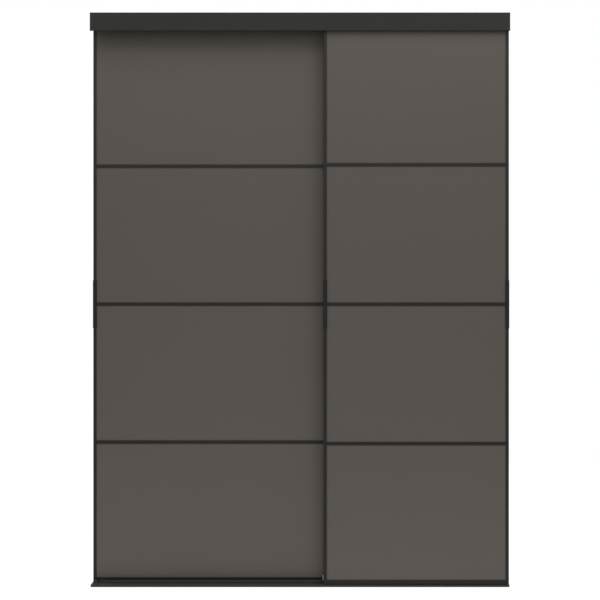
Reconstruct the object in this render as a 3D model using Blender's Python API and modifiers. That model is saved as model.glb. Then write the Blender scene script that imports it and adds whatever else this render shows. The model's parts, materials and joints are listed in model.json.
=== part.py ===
"""Sliding door wardrobe: a two-compartment carcass with two top-hung doors on a twin track.

Metres, +Z up. The origin is on the floor, in the middle of the footprint. The front faces -Y.
The wide door runs on the rear track and the narrow door on the front track. Each door hangs
from two wheel sets in the top rail, and is guided by two fins in grooves of the bottom rail.
"""

import math

import bmesh
import bpy
from mathutils import Matrix, Vector

# Clearance between pieces that touch
GAP = 0.0003

# The whole wardrobe
WIDTH = 1.756
HEIGHT = 2.4025
DEPTH = 0.670
FRONT_Y = -DEPTH / 2
BACK_Y = DEPTH / 2

# Carcass
CARCASS_WIDTH = 1.750
CARCASS_HEIGHT = 2.3665
CARCASS_FRONT_Y = FRONT_Y + 0.090
BOARD = 0.018
BACK_BOARD = 0.004
BACK_FLOOR_CLEARANCE = 0.004
PLINTH_HEIGHT = 0.045
PARTITION_X = 0.1235
SHELF_SETBACK = 0.015
SHELF_COUNT = 4
HAT_SHELF_Z = 1.962
BOARD_EDGE = 0.0006

# Clothes rail, an oval tube between two open cups
RAIL_TUBE_Z = 1.897
RAIL_TUBE_HEIGHT = 0.030
RAIL_TUBE_WIDTH = 0.015
RAIL_TUBE_WALL = 0.0015
ARC_STEPS = 8
SOCKET_DEPTH = 0.014
SOCKET_WALL = 0.003
SOCKET_PLATE = 0.003
SOCKET_SIDE_MARGIN = 0.004
SOCKET_LOWER_MARGIN = 0.006

# Doors: setbacks are measured from the fascia's front face
DOOR_BOTTOM = 0.012
DOOR_TOP = 2.3625
DOOR_THICKNESS = 0.028
FRONT_DOOR_SETBACK = 0.012
REAR_DOOR_SETBACK = 0.055
FRONT_DOOR_WIDTH = 0.776
REAR_DOOR_WIDTH = 1.022
STILE_WIDTH = 0.013
MEMBER_HEIGHT = 0.016
DIVIDER_HEIGHT = 0.0145
DIVIDER_PITCH = 0.5843
MIDDLE_DIVIDER_Z = 1.184
PANEL_THICKNESS = 0.008
PANEL_SETBACK = 0.0033
GROOVE_DEPTH = 0.008
GROOVE_CLEARANCE = 0.0005
FRAME_WALL = 0.002
FRAME_EDGE = 0.0008
DIVIDER_FLANGE = 0.0015
DIVIDER_WEB = 0.002

# Grips, channels clipped over the stiles
GRIP_LENGTH = 0.202
GRIP_WALL = 0.0012
GRIP_OVERLAP = 0.0015
GRIP_SIDE_DEPTH = 0.022
GRIP_EDGE = 0.001

# Door hangers and their wheel sets
HANGER_INSET = 0.060
HANGER_LENGTH = 0.030
HANGER_PLATE = 0.003
HANGER_FOOT_WIDTH = 0.022
HANGER_FOOT_THICKNESS = 0.0025
HANGER_HEAD = 0.0075
AXLE_RADIUS = 0.002
AXLE_CLEARANCE = 0.0003
WHEEL_RADIUS = 0.010
WHEEL_WIDTH = 0.007
WHEEL_INNER = 0.0034
HUB_RADIUS = 0.0042
HUB_INNER = 0.002
TREAD_CHAMFER = 0.0008
AXLE_COLLAR = 0.0004
AXLE_LENGTH = 0.0244
AXLE_HEAD_RADIUS = 0.0034
WHEEL_STEPS = 24

# Bottom guides, plates on the doors' backs with a fin and a side buffer
GUIDE_THICKNESS = 0.003
GUIDE_LENGTH = 0.060
GUIDE_TOP = 0.043
GUIDE_FIN_BOTTOM = 0.003
GUIDE_LEAD_IN = 0.005
GUIDE_EDGE_INSET = 0.004
GUIDE_CORNER = 0.006
OUTER_BUFFER_PROUD = 0.0012
INNER_BUFFER_PROUD = 0.0035
BUFFER_DEPTH = 0.013
BUFFER_BOTTOM = 0.0225
BUFFER_EDGE = 0.0011
BUFFER_ROOT = 0.001

# Top rail and fascia
RAIL_UNDERSIDE = CARCASS_HEIGHT + GAP
RAIL_WALL = 0.0025
TRACK_WIDTH = 0.030
TRACK_THROAT = 0.010
RAIL_TOP = 2.4005
RAIL_FOOT_DEPTH = 0.140
RAIL_LEG_BOTTOM = 2.326
FASCIA_THICKNESS = 0.0017
FASCIA_BOTTOM = 2.327
FASCIA_FLANGE = 0.040
FASCIA_LIP = 0.006
FASCIA_EDGE = 0.0012
END_CAP_THICKNESS = 0.0027
END_CAP_EDGE = 0.010
END_CAP_LEG = 0.009
STOP_CLEARANCE = 0.0005
STOP_SIDE_CLEARANCE = 0.0015

# Bottom rail: a front land, a groove for each door's fins, a ridge between the doors
# and an upstand against the carcass
BOTTOM_RAIL_WIDTH = 1.7535
BOTTOM_RAIL_SETBACK = 0.009
BOTTOM_RAIL_HEIGHT = 0.0094
BOTTOM_RAIL_EDGE = 0.0015
GUIDE_GROOVE = 0.011
GUIDE_GROOVE_FLOOR = 0.0015
FIN_REAR_CLEARANCE = 0.0007
RIDGE_HEIGHT = 0.019
RIDGE_WIDTH = 0.003
RIDGE_END = 0.8305
UPSTAND_HEIGHT = 0.030
UNDERCUT_HEIGHT = 0.0065
GROOVE_WALL = 0.003

# Clip at the left end of the bottom rail, in line with the ridge: two teeth on a low base
CLIP_OUTER_END = 0.870
CLIP_INNER_END = 0.832
CLIP_OUTER_TOOTH = 0.016
CLIP_INNER_TOOTH = 0.0125
CLIP_BASE_TOP = 0.012
CLIP_TOOTH_TOP = 0.0185
CLIP_DEPTH = 0.008

COLOURS = {
    "frame": ((0.021, 0.021, 0.020), 0.45, 0.0),
    "door_panel": ((0.097, 0.084, 0.074), 0.55, 0.0),
    "rail": ((0.018, 0.018, 0.016), 0.45, 0.0),
    "grip": ((0.013, 0.013, 0.013), 0.50, 0.0),
    "board": ((0.095, 0.085, 0.076), 0.50, 0.0),
    "back_board": ((0.080, 0.074, 0.069), 0.70, 0.0),
    "steel": ((0.58, 0.58, 0.60), 0.35, 1.0),
    "wheel": ((0.62, 0.61, 0.57), 0.45, 0.0),
    "guide_plastic": ((0.42, 0.42, 0.40), 0.45, 0.0),
}


def clear_scene():
    for obj in list(bpy.data.objects):
        bpy.data.objects.remove(obj, do_unlink=True)


def new_collection(name):
    collection = bpy.data.collections.new(name)
    bpy.context.scene.collection.children.link(collection)
    return collection


def new_material(name, colour, roughness, metallic):
    material = bpy.data.materials.new(name)
    material.use_nodes = True
    shader = material.node_tree.nodes["Principled BSDF"]
    shader.inputs["Base Color"].default_value = (*colour, 1.0)
    shader.inputs["Roughness"].default_value = roughness
    shader.inputs["Metallic"].default_value = metallic
    return material


clear_scene()
PARTS = new_collection("sliding_door_wardrobe")
CUTTERS = new_collection("cutters")
MATERIALS = {name: new_material(name, *values) for name, values in COLOURS.items()}


# ---------------------------------------------------------------- building blocks


def add_object(name, data, location, material, parent=None, rotation=None):
    """Link an object at a world location, under its parent if it has one."""
    obj = bpy.data.objects.new(name, data)
    data.materials.append(MATERIALS[material])
    PARTS.objects.link(obj)
    if rotation is not None:
        obj.rotation_euler = rotation.to_euler()
    obj.parent = parent
    base = parent.location if parent else Vector()
    obj.location = Vector(location) - base
    return obj


def make_cutter(obj):
    """Keep an object only as a modifier's second shape."""
    PARTS.objects.unlink(obj)
    CUTTERS.objects.link(obj)
    obj.hide_render = True
    obj.display_type = "WIRE"


def add_boolean(obj, other, operation):
    modifier = obj.modifiers.new(operation.lower(), "BOOLEAN")
    modifier.operation = operation
    modifier.solver = "EXACT"
    modifier.object = other
    make_cutter(other)


def box(name, low, high, material, parent=None, edge=0.0, segments=1):
    """A box between two world corners, with its edges bevelled by `edge`."""
    low, high = Vector(low), Vector(high)
    mesh = bpy.data.meshes.new(name)
    shape = bmesh.new()
    bmesh.ops.create_cube(shape, size=1.0)
    bmesh.ops.scale(shape, vec=high - low, verts=shape.verts)
    shape.to_mesh(mesh)
    shape.free()
    obj = add_object(name, mesh, (low + high) / 2, material, parent)
    if edge:
        bevel = obj.modifiers.new("edges", "BEVEL")
        bevel.width = edge
        bevel.segments = segments
        bevel.limit_method = "ANGLE"
    return obj


def signed_area(outline):
    pairs = zip(outline, outline[1:] + outline[:1])
    return sum(a[0] * b[1] - b[0] * a[1] for a, b in pairs) / 2


def round_corner(before, corner, after, radius, steps):
    """The points of an arc that replaces a right-angled corner of an outline."""
    before, corner, after = Vector(before), Vector(corner), Vector(after)
    start = (before - corner).normalized() * radius
    end = (after - corner).normalized() * radius
    centre = corner + start + end
    points = []
    for step in range(steps + 1):
        angle = math.pi / 2 * step / steps
        point = centre - end * math.cos(angle) - start * math.sin(angle)
        points.append(tuple(point))
    return points


def soften(outline, corners, radius, steps=2):
    """Round the listed corners of an outline, by their index."""
    result = []
    for index, corner in enumerate(outline):
        if index in corners:
            before = outline[index - 1]
            after = outline[(index + 1) % len(outline)]
            result += round_corner(before, corner, after, radius, steps)
        else:
            result.append(corner)
    return result


def flat_curve(name, outlines, thickness):
    """A flat outline, with any holes after it, filled and given a thickness."""
    curve = bpy.data.curves.new(name, "CURVE")
    curve.dimensions = "2D"
    curve.fill_mode = "BOTH"
    curve.extrude = thickness / 2
    for outline in outlines:
        if signed_area(outline) < 0:
            outline = outline[::-1]
        spline = curve.splines.new("POLY")
        spline.points.add(len(outline) - 1)
        for point, (u, v) in zip(spline.points, outline):
            point.co = (u, v, 0.0, 1.0)
        spline.use_cyclic_u = True
    return curve


# A flat curve lies in XY and is extruded along Z; this turns X, Y, Z to Y, Z, X
ALONG_X = Matrix(((0, 0, 1), (1, 0, 0), (0, 1, 0)))
# and this turns X, Y, Z to X, Z, -Y
ALONG_Y = Matrix(((1, 0, 0), (0, 0, -1), (0, 1, 0)))


def profile_along_x(name, outlines, start, end, material, parent=None):
    """A profile drawn in (y, z) and extruded from x = start to x = end."""
    curve = flat_curve(name, outlines, end - start)
    centre = ((start + end) / 2, 0, 0)
    return add_object(name, curve, centre, material, parent, ALONG_X)


def profile_along_y(name, outlines, start, end, material, parent=None):
    """A shape drawn in (x, z) and extruded from y = start to y = end."""
    curve = flat_curve(name, outlines, end - start)
    centre = (0, (start + end) / 2, 0)
    return add_object(name, curve, centre, material, parent, ALONG_Y)


def profile_along_z(name, outlines, start, end, material, parent=None):
    """A profile drawn in (x, y) and extruded from z = start to z = end."""
    curve = flat_curve(name, outlines, end - start)
    centre = (0, 0, (start + end) / 2)
    return add_object(name, curve, centre, material, parent)


def as_mesh(curve_obj):
    """Turn a curve object into a mesh object with welded caps, so that it can be cut or joined."""
    bpy.context.view_layer.update()
    depsgraph = bpy.context.evaluated_depsgraph_get()
    mesh = bpy.data.meshes.new_from_object(curve_obj.evaluated_get(depsgraph))
    shape = bmesh.new()
    shape.from_mesh(mesh)
    bmesh.ops.remove_doubles(shape, verts=shape.verts, dist=1e-6)
    shape.to_mesh(mesh)
    shape.free()
    name, parent = curve_obj.name, curve_obj.parent
    world = curve_obj.matrix_world.copy()
    bpy.data.objects.remove(curve_obj, do_unlink=True)
    obj = bpy.data.objects.new(name, mesh)
    PARTS.objects.link(obj)
    obj.parent = parent
    obj.matrix_world = world
    return obj


# ---------------------------------------------------------------- carcass


def build_carcass():
    """Sides, partition, top, bottom, plinth and the two back boards."""
    half = CARCASS_WIDTH / 2
    rear = BACK_Y - BACK_BOARD - GAP
    inner = half - BOARD

    for name, low_x, high_x in (
        ("side_left", -half, -inner),
        ("side_right", inner, half),
    ):
        low = (low_x, CARCASS_FRONT_Y, 0)
        high = (high_x, rear, CARCASS_HEIGHT)
        box(name, low, high, "board", edge=BOARD_EDGE)

    span = inner - GAP
    top_low = CARCASS_HEIGHT - BOARD
    floor_top = PLINTH_HEIGHT + GAP + BOARD
    low = (-span, CARCASS_FRONT_Y, top_low)
    high = (span, rear, CARCASS_HEIGHT)
    box("top_panel", low, high, "board", edge=BOARD_EDGE)
    low = (-span, CARCASS_FRONT_Y, PLINTH_HEIGHT + GAP)
    high = (span, rear, floor_top)
    box("bottom_panel", low, high, "board", edge=BOARD_EDGE)
    low = (-span, CARCASS_FRONT_Y, 0)
    high = (span, CARCASS_FRONT_Y + BOARD, PLINTH_HEIGHT)
    box("plinth", low, high, "board", edge=BOARD_EDGE)

    half_board = BOARD / 2
    low = (PARTITION_X - half_board, CARCASS_FRONT_Y, floor_top + GAP)
    high = (PARTITION_X + half_board, rear, top_low - GAP)
    box("partition", low, high, "board", edge=BOARD_EDGE)

    for name, low_x, high_x in (
        ("back_left", -half, PARTITION_X - GAP / 2),
        ("back_right", PARTITION_X + GAP / 2, half),
    ):
        low = (low_x, BACK_Y - BACK_BOARD, BACK_FLOOR_CLEARANCE)
        high = (high_x, BACK_Y, CARCASS_HEIGHT - BACK_FLOOR_CLEARANCE)
        box(name, low, high, "back_board")
    return inner, rear, floor_top, top_low


def oval(width, height):
    """An upright oval: two half circles joined by straight sides."""
    radius = width / 2
    reach = height / 2 - radius
    points = []
    for centre, first in ((reach, 0.0), (-reach, math.pi)):
        for step in range(ARC_STEPS + 1):
            angle = first + math.pi * step / ARC_STEPS
            points.append((radius * math.cos(angle), centre + radius * math.sin(angle)))
    return points


def shifted(outline, u, v):
    return [(a + u, b + v) for a, b in outline]


def build_clothes_rail(left_face, right_face, y):
    """The oval tube and the two cups that it drops into from above."""
    walls = 2 * RAIL_TUBE_WALL
    outer = oval(RAIL_TUBE_WIDTH, RAIL_TUBE_HEIGHT)
    bore = oval(RAIL_TUBE_WIDTH - walls, RAIL_TUBE_HEIGHT - walls)
    tube = [shifted(outline, y, RAIL_TUBE_Z) for outline in (outer, bore)]
    start = left_face + SOCKET_PLATE + 2 * GAP
    end = right_face - SOCKET_PLATE - 2 * GAP
    profile_along_x("clothes_rail", tube, start, end, "steel")

    inner_half = RAIL_TUBE_WIDTH / 2 + GAP
    outer_half = inner_half + SOCKET_WALL
    cup_top = RAIL_TUBE_Z + RAIL_TUBE_HEIGHT / 2
    arc_centre = RAIL_TUBE_Z - RAIL_TUBE_HEIGHT / 2 + RAIL_TUBE_WIDTH / 2
    cup = []
    for radius, direction in ((outer_half, 1), (inner_half, -1)):
        side = -direction
        cup.append((y + side * radius, cup_top))
        for step in range(ARC_STEPS + 1):
            angle = math.pi * step / ARC_STEPS
            point_y = y + side * radius * math.cos(angle)
            cup.append((point_y, arc_centre - radius * math.sin(angle)))
        cup.append((y - side * radius, cup_top))
    plate_half = outer_half + SOCKET_SIDE_MARGIN
    plate_low = arc_centre - outer_half - SOCKET_LOWER_MARGIN
    plate = [
        (y - plate_half, cup_top),
        (y - plate_half, plate_low),
        (y + plate_half, plate_low),
        (y + plate_half, cup_top),
    ]
    for name, face, sign in (
        ("rail_socket_left", left_face + GAP, 1),
        ("rail_socket_right", right_face - GAP, -1),
    ):
        plate_ends = sorted((face, face + sign * SOCKET_PLATE))
        cup_ends = sorted((face + sign * SOCKET_PLATE / 2, face + sign * SOCKET_DEPTH))
        cup_obj = as_mesh(profile_along_x(name + "_cup", [cup], *cup_ends, "steel"))
        plate_obj = as_mesh(profile_along_x(name, [plate], *plate_ends, "steel"))
        add_boolean(plate_obj, cup_obj, "UNION")


def build_interior(inner, rear, floor_top, top_low):
    """A hat shelf over a clothes rail on the left, and loose shelves on the right."""
    half_board = BOARD / 2
    left = (-inner, PARTITION_X - half_board)
    right = (PARTITION_X + half_board, inner)
    front = CARCASS_FRONT_Y + SHELF_SETBACK

    low = (left[0] + GAP, front, HAT_SHELF_Z)
    high = (left[1] - GAP, rear, HAT_SHELF_Z + BOARD)
    box("hat_shelf", low, high, "board", edge=BOARD_EDGE)
    build_clothes_rail(left[0], left[1], (CARCASS_FRONT_Y + rear) / 2)

    space = (top_low - floor_top - SHELF_COUNT * BOARD) / (SHELF_COUNT + 1)
    for index in range(SHELF_COUNT):
        z = floor_top + (index + 1) * space + index * BOARD
        low = (right[0] + GAP, front, z)
        high = (right[1] - GAP, rear, z + BOARD)
        box(f"shelf_{index + 1}", low, high, "board", edge=BOARD_EDGE)


# ---------------------------------------------------------------- rails


def track_notch(centre, ceiling):
    """The inside of a C-shaped track that is open below, from its front to its rear lip."""
    throat, chamber = TRACK_THROAT / 2, TRACK_WIDTH / 2
    lip_top = RAIL_UNDERSIDE + RAIL_WALL
    return [
        (centre - throat, RAIL_UNDERSIDE),
        (centre - throat, lip_top),
        (centre - chamber, lip_top),
        (centre - chamber, ceiling),
        (centre + chamber, ceiling),
        (centre + chamber, lip_top),
        (centre + throat, lip_top),
        (centre + throat, RAIL_UNDERSIDE),
    ]


def open_notch(front, rear, ceiling):
    """A plain slot from the rail's underside up to its top web."""
    return [
        (front, RAIL_UNDERSIDE),
        (front, ceiling),
        (rear, ceiling),
        (rear, RAIL_UNDERSIDE),
    ]


def build_top_rail(front_track, rear_track):
    """The twin track, with a leg in front of the carcass and a foot on top of it."""
    ceiling = RAIL_TOP - RAIL_WALL
    chamber = TRACK_WIDTH / 2
    nose = FRONT_Y + FASCIA_THICKNESS + GAP
    foot_top = RAIL_UNDERSIDE + RAIL_WALL
    rear_wall = rear_track + chamber + RAIL_WALL
    leg_rear = CARCASS_FRONT_Y - GAP
    leg_front = leg_rear - RAIL_WALL
    foot_end = FRONT_Y + RAIL_FOOT_DEPTH
    front_wall = front_track - chamber - RAIL_WALL
    outline = [(nose, RAIL_TOP), (nose, RAIL_UNDERSIDE)]
    outline += open_notch(nose + RAIL_WALL, front_wall, ceiling)
    outline += track_notch(front_track, ceiling)
    between = (front_track + chamber + RAIL_WALL, rear_track - chamber - RAIL_WALL)
    outline += open_notch(*between, ceiling)
    outline += track_notch(rear_track, ceiling)
    outline += [
        (leg_front, RAIL_UNDERSIDE),
        (leg_front, RAIL_LEG_BOTTOM),
        (leg_rear, RAIL_LEG_BOTTOM),
        (leg_rear, RAIL_UNDERSIDE),
        (foot_end, RAIL_UNDERSIDE),
        (foot_end, foot_top),
        (rear_wall, foot_top),
        (rear_wall, RAIL_TOP),
    ]
    half = WIDTH / 2 - END_CAP_THICKNESS - GAP
    profile_along_x("top_rail", [outline], -half, half, "rail")
    return half


def build_fascia(half):
    """The cover in front of the top rail, with a flange on top and a lip below."""
    wall = FASCIA_THICKNESS
    outline = [
        (FRONT_Y, FASCIA_BOTTOM),
        (FRONT_Y + FASCIA_LIP, FASCIA_BOTTOM),
        (FRONT_Y + FASCIA_LIP, FASCIA_BOTTOM + wall),
        (FRONT_Y + wall, FASCIA_BOTTOM + wall),
        (FRONT_Y + wall, HEIGHT - wall),
        (FRONT_Y + FASCIA_FLANGE, HEIGHT - wall),
        (FRONT_Y + FASCIA_FLANGE, HEIGHT),
        (FRONT_Y, HEIGHT),
    ]
    outline = soften(outline, (0, 7), FASCIA_EDGE, 3)
    profile_along_x("fascia", [outline], -half, half, "rail")


def build_end_caps(half, tracks):
    """A cap on each end of the top rail, with the buffers that stop the doors' hangers."""
    rear = CARCASS_FRONT_Y - GAP
    outline = [
        (FRONT_Y, FASCIA_BOTTOM),
        (FRONT_Y + END_CAP_LEG, FASCIA_BOTTOM),
        (FRONT_Y + END_CAP_LEG, RAIL_UNDERSIDE),
        (rear, RAIL_UNDERSIDE),
        (rear, HEIGHT),
        (FRONT_Y, HEIGHT),
    ]
    outline = soften(outline, (4,), END_CAP_EDGE, 4)
    stop_low = RAIL_UNDERSIDE + RAIL_WALL + STOP_SIDE_CLEARANCE
    stop_high = RAIL_TOP - RAIL_WALL - STOP_SIDE_CLEARANCE
    stop_half = TRACK_WIDTH / 2 - STOP_SIDE_CLEARANCE
    hanger_edge = CARCASS_WIDTH / 2 - HANGER_INSET + HANGER_LENGTH / 2
    stop_inner = hanger_edge + STOP_CLEARANCE
    inside, outside = half + GAP, WIDTH / 2
    overlap = END_CAP_THICKNESS / 2
    for side, sign in (("left", -1), ("right", 1)):
        name = f"rail_end_{side}"
        start, end = sorted((sign * inside, sign * outside))
        cap = as_mesh(profile_along_x(name, [outline], start, end, "rail"))
        for number, track in enumerate(tracks):
            low_x, high_x = sorted((sign * stop_inner, sign * (inside + overlap)))
            low = (low_x, track - stop_half, stop_low)
            high = (high_x, track + stop_half, stop_high)
            add_boolean(cap, box(f"{name}_stop_{number}", low, high, "rail"), "UNION")


def build_bottom_rail(fin_backs):
    """The rail on the floor. Each groove ends just behind the back face of its door's fins."""
    front = FRONT_Y + BOTTOM_RAIL_SETBACK
    rear = CARCASS_FRONT_Y - GAP
    top = BOTTOM_RAIL_HEIGHT
    floor = GUIDE_GROOVE_FLOOR
    front_stop, rear_stop = (back + FIN_REAR_CLEARANCE for back in fin_backs)
    ridge_rear = front_stop + RIDGE_WIDTH
    outline = [
        (front, 0),
        (front, top - BOTTOM_RAIL_EDGE),
        (front + BOTTOM_RAIL_EDGE, top),
        (front_stop - GUIDE_GROOVE, top),
        (front_stop - GUIDE_GROOVE, floor),
        (front_stop, floor),
        (front_stop, RIDGE_HEIGHT),
        (ridge_rear, RIDGE_HEIGHT),
        (ridge_rear, top),
        (rear_stop - GUIDE_GROOVE, top),
        (rear_stop - GUIDE_GROOVE, floor),
        (rear_stop, floor),
        (rear_stop, UPSTAND_HEIGHT),
        (rear, UPSTAND_HEIGHT),
        (rear, 0),
        (rear_stop - GUIDE_GROOVE - GROOVE_WALL, 0),
        (rear_stop - GUIDE_GROOVE - GROOVE_WALL, UNDERCUT_HEIGHT),
        (ridge_rear, UNDERCUT_HEIGHT),
        (ridge_rear, 0),
    ]
    half = BOTTOM_RAIL_WIDTH / 2
    rail = as_mesh(profile_along_x("bottom_rail", [outline], -half, half, "rail"))
    for side, sign in (("left", -1), ("right", 1)):
        ends = sorted((sign * RIDGE_END, sign * (half + BOTTOM_RAIL_HEIGHT)))
        low = (ends[0], front_stop - GAP, top)
        high = (ends[1], ridge_rear + GAP, 2 * RIDGE_HEIGHT)
        add_boolean(rail, box(f"ridge_end_{side}", low, high, "rail"), "DIFFERENCE")
    return front_stop


def build_rail_clip(ridge_front):
    """The plastic clip beyond the left end of the ridge, in front of the rear door's guide."""
    base_low = BOTTOM_RAIL_HEIGHT + GAP
    outer_inner = CLIP_OUTER_END - CLIP_OUTER_TOOTH
    inner_outer = CLIP_INNER_END + CLIP_INNER_TOOTH
    outline = [
        (-CLIP_INNER_END, base_low),
        (-CLIP_INNER_END, CLIP_TOOTH_TOP),
        (-inner_outer, CLIP_TOOTH_TOP),
        (-inner_outer, CLIP_BASE_TOP),
        (-outer_inner, CLIP_BASE_TOP),
        (-outer_inner, CLIP_TOOTH_TOP),
        (-CLIP_OUTER_END, CLIP_TOOTH_TOP),
        (-CLIP_OUTER_END, base_low),
    ]
    rear = ridge_front + CLIP_DEPTH
    profile_along_y("rail_clip", [outline], ridge_front, rear, "rail")


# ---------------------------------------------------------------- doors


def stile_outline(edge, sign, front):
    """An E-shaped stile: a groove for the panels, and an open channel behind it."""
    panel_back = PANEL_SETBACK + PANEL_THICKNESS + GAP
    channel_front = panel_back + FRAME_WALL
    channel_back = DOOR_THICKNESS - FRAME_WALL
    groove_bottom = STILE_WIDTH - GROOVE_DEPTH
    points = [
        (0, 0),
        (STILE_WIDTH, 0),
        (STILE_WIDTH, PANEL_SETBACK - GAP),
        (groove_bottom, PANEL_SETBACK - GAP),
        (groove_bottom, panel_back),
        (STILE_WIDTH, panel_back),
        (STILE_WIDTH, channel_front),
        (FRAME_WALL, channel_front),
        (FRAME_WALL, channel_back),
        (STILE_WIDTH, channel_back),
        (STILE_WIDTH, DOOR_THICKNESS),
        (0, DOOR_THICKNESS),
    ]
    points = soften(points, (0, 1, 11), FRAME_EDGE)
    return [(edge + sign * u, front + v) for u, v in points]


def member_outline(edge, sign, front):
    """A top or bottom member, with the groove that holds the panel's edge."""
    panel_back = PANEL_SETBACK + PANEL_THICKNESS + GAP
    groove_bottom = MEMBER_HEIGHT - GROOVE_DEPTH
    points = [
        (0, 0),
        (0, MEMBER_HEIGHT),
        (PANEL_SETBACK - GAP, MEMBER_HEIGHT),
        (PANEL_SETBACK - GAP, groove_bottom),
        (panel_back, groove_bottom),
        (panel_back, MEMBER_HEIGHT),
        (DOOR_THICKNESS, MEMBER_HEIGHT),
        (DOOR_THICKNESS, 0),
    ]
    points = soften(points, (0, 1), FRAME_EDGE)
    return [(front + v, edge + sign * u) for v, u in points]


def divider_outline(centre_z, front):
    """An H-shaped bar whose flanges hold the panels above and below it."""
    half = DIVIDER_HEIGHT / 2
    web = DIVIDER_WEB / 2
    front_face = PANEL_SETBACK - GAP - DIVIDER_FLANGE
    front_inner = PANEL_SETBACK - GAP
    rear_inner = PANEL_SETBACK + PANEL_THICKNESS + GAP
    rear_face = rear_inner + DIVIDER_FLANGE
    points = [
        (front_face, -half),
        (front_inner, -half),
        (front_inner, -web),
        (rear_inner, -web),
        (rear_inner, -half),
        (rear_face, -half),
        (rear_face, half),
        (rear_inner, half),
        (rear_inner, web),
        (front_inner, web),
        (front_inner, half),
        (front_face, half),
    ]
    return [(front + v, centre_z + u) for v, u in points]


def build_frame(name, left, right, front, parent):
    """Two stiles, the top and bottom members and three dividers."""
    for side, edge, sign in (("left", left, 1), ("right", right, -1)):
        outline = stile_outline(edge, sign, front)
        profile_along_z(
            f"{name}_stile_{side}", [outline], DOOR_BOTTOM, DOOR_TOP, "frame", parent
        )
    start = left + STILE_WIDTH + GAP
    end = right - STILE_WIDTH - GAP
    for place, edge, sign in (("bottom", DOOR_BOTTOM, 1), ("top", DOOR_TOP, -1)):
        outline = member_outline(edge, sign, front)
        profile_along_x(f"{name}_{place}_member", [outline], start, end, "frame", parent)
    for step, place in ((-1, "lower"), (0, "middle"), (1, "upper")):
        outline = divider_outline(MIDDLE_DIVIDER_Z + step * DIVIDER_PITCH, front)
        profile_along_x(f"{name}_divider_{place}", [outline], start, end, "frame", parent)


def build_panels(name, left, right, front, parent):
    """Four panels, numbered from the bottom, held in the frame's grooves."""
    reach = STILE_WIDTH - GROOVE_DEPTH + GROOVE_CLEARANCE
    member_reach = MEMBER_HEIGHT - GROOVE_DEPTH + GROOVE_CLEARANCE
    web = DIVIDER_WEB / 2 + GROOVE_CLEARANCE
    lines = [MIDDLE_DIVIDER_Z + step * DIVIDER_PITCH for step in (-1, 0, 1)]
    lows = [DOOR_BOTTOM + member_reach] + [line + web for line in lines]
    highs = [line - web for line in lines] + [DOOR_TOP - member_reach]
    face = front + PANEL_SETBACK
    for number, (low_z, high_z) in enumerate(zip(lows, highs), 1):
        low = (left + reach, face, low_z)
        high = (right - reach, face + PANEL_THICKNESS, high_z)
        box(f"{name}_panel_{number}", low, high, "door_panel", parent)


def build_grips(name, left, right, front, parent):
    """A channel over each stile: front, outer side, and a short return that clears the divider."""
    outer = -GRIP_OVERLAP
    side_inner = outer + GRIP_WALL
    inner = STILE_WIDTH + GAP
    return_end = inner + GRIP_WALL
    face = -GAP - GRIP_WALL
    return_depth = PANEL_SETBACK - DIVIDER_FLANGE - 2 * GAP
    points = [
        (outer, face),
        (return_end, face),
        (return_end, return_depth),
        (inner, return_depth),
        (inner, -GAP),
        (side_inner, -GAP),
        (side_inner, GRIP_SIDE_DEPTH),
        (outer, GRIP_SIDE_DEPTH),
    ]
    points = soften(points, (0, 1), GRIP_EDGE, 3)
    low = MIDDLE_DIVIDER_Z - GRIP_LENGTH / 2
    high = MIDDLE_DIVIDER_Z + GRIP_LENGTH / 2
    for side, edge, sign in (("left", left, 1), ("right", right, -1)):
        outline = [(edge + sign * u, front + v) for u, v in points]
        profile_along_z(f"{name}_grip_{side}", [outline], low, high, "grip", parent)


def cylinder_along_y(name, centre, radius, length, steps, material):
    mesh = bpy.data.meshes.new(name)
    shape = bmesh.new()
    bmesh.ops.create_cone(
        shape, cap_ends=True, segments=steps, radius1=radius, radius2=radius, depth=length
    )
    shape.to_mesh(mesh)
    shape.free()
    turn = Matrix.Rotation(math.pi / 2, 3, "X")
    return add_object(name, mesh, centre, material, rotation=turn)


def wheel_profile():
    """Half of the wheel set's section as (distance along the axle, radius), from the middle out."""
    chamfer = TREAD_CHAMFER
    wheel_outer = WHEEL_INNER + WHEEL_WIDTH
    head = wheel_outer + AXLE_COLLAR
    return [
        (0.0, AXLE_RADIUS),
        (HUB_INNER, AXLE_RADIUS),
        (HUB_INNER, HUB_RADIUS),
        (WHEEL_INNER, HUB_RADIUS),
        (WHEEL_INNER, WHEEL_RADIUS - chamfer),
        (WHEEL_INNER + chamfer, WHEEL_RADIUS),
        (wheel_outer - chamfer, WHEEL_RADIUS),
        (wheel_outer, WHEEL_RADIUS - chamfer),
        (wheel_outer, HUB_RADIUS),
        (head, HUB_RADIUS),
        (head, AXLE_HEAD_RADIUS),
        (AXLE_LENGTH / 2, AXLE_HEAD_RADIUS),
        (AXLE_LENGTH / 2, 0.0),
    ]


def wheel_set(name, centre, parent):
    """Two wheels on one axle, turned about Y."""
    half = wheel_profile()
    section = [(-along, radius) for along, radius in half[:0:-1]] + half
    mesh = bpy.data.meshes.new(name)
    shape = bmesh.new()
    points = [shape.verts.new((radius, 0, along)) for along, radius in section[::-1]]
    for first, second in zip(points, points[1:]):
        shape.edges.new((first, second))
    shape.to_mesh(mesh)
    shape.free()
    turn = Matrix.Rotation(math.pi / 2, 3, "X")
    obj = add_object(name, mesh, centre, "wheel", parent, turn)
    screw = obj.modifiers.new("turned", "SCREW")
    screw.steps = WHEEL_STEPS
    screw.render_steps = WHEEL_STEPS
    screw.use_merge_vertices = True
    screw.merge_threshold = 1e-5
    screw.use_smooth_shade = True
    return obj


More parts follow.
